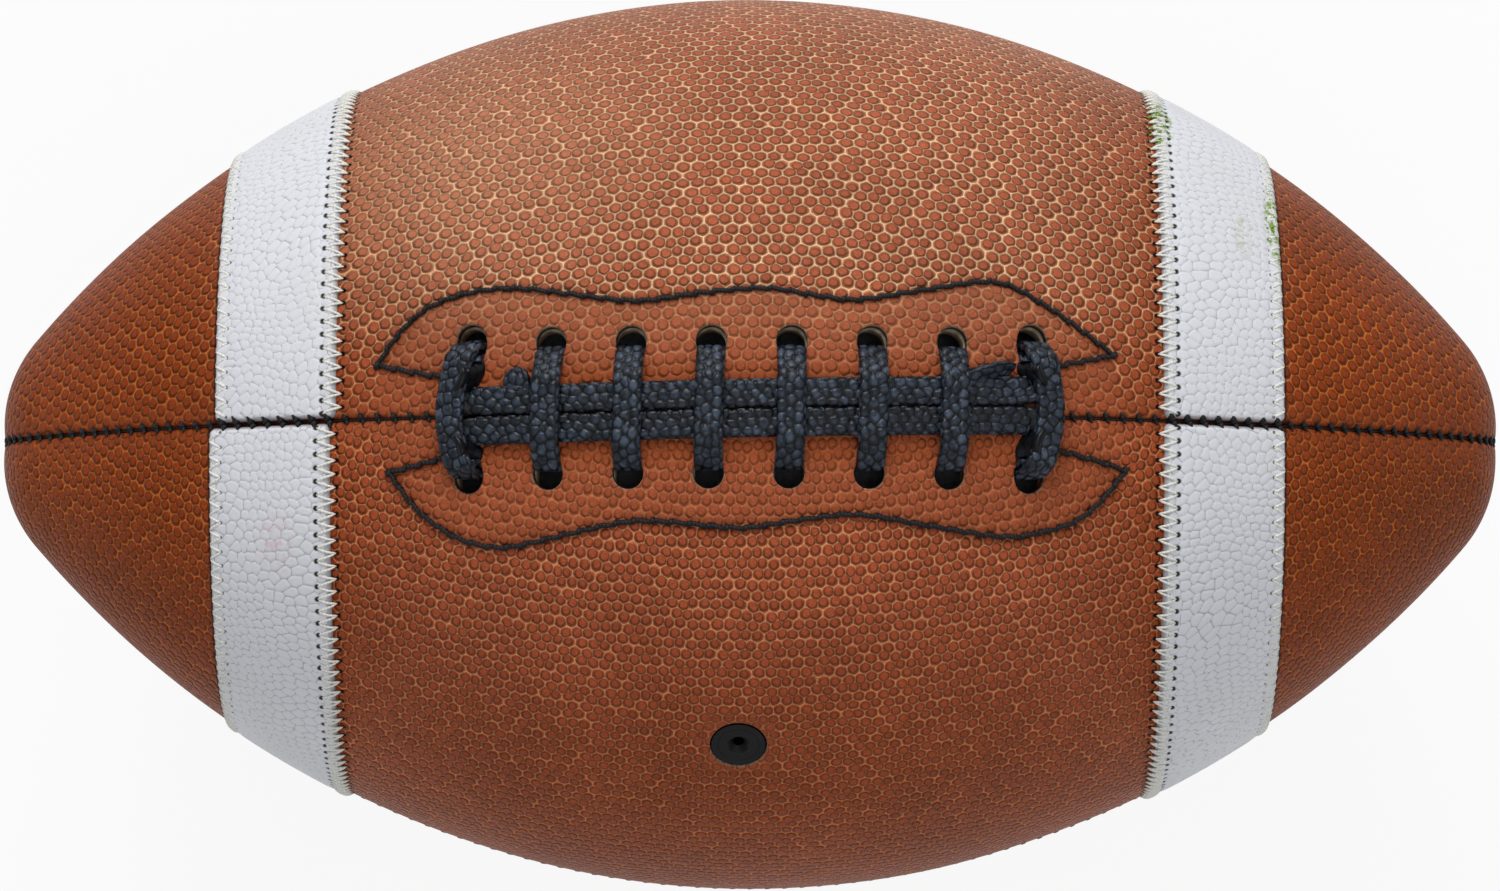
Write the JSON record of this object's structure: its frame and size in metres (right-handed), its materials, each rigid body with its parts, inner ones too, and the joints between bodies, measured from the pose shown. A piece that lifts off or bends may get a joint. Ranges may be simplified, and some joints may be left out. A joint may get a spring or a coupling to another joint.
{
  "type": "american football",
  "caption": "Leather american football of four stitched panels with white end stripes, black lacing, an inner bladder and a needle valve.",
  "frame": {"origin": "centre of the ball, on its long axis at mid length", "axes": "+X along the ball from tip to tip, +Z through the laced seam, -Y towards the side that holds the valve"},
  "size_m": [0.283, 0.1684, 0.1719],
  "materials": {
    "panel_leather": "satin",
    "stripe_leather": "satin",
    "lace_rubber": "satin",
    "thread": "matte",
    "lining_cloth": "matte",
    "patch_leather": "matte",
    "tongue_leather": "matte",
    "bladder_rubber": "satin",
    "valve_rubber": "matte"
  },
  "bodies": {
    "root": {"panel_laced_front": "panel_leather", "panel_laced_rear": "panel_leather", "panel_base_front": "panel_leather", "panel_base_rear": "panel_leather", "lining_laced_front": "lining_cloth", "lining_laced_rear": "lining_cloth", "lining_base_front": "lining_cloth", "lining_base_rear": "lining_cloth", "seam_thread_laced": "thread", "seam_thread_front": "thread", "seam_thread_rear": "thread", "seam_thread_base": "thread", "stripe_front_left": "stripe_leather", "stripe_front_right": "stripe_leather", "stripe_rear_left": "stripe_leather", "stripe_rear_right": "stripe_leather", "lace": "lace_rubber", "lace_patch_front": "patch_leather", "lace_patch_rear": "patch_leather", "tongue": "tongue_leather", "bladder": "bladder_rubber", "valve_neck": "valve_rubber", "valve_plug": "valve_rubber"}
  },
  "joints": []
}
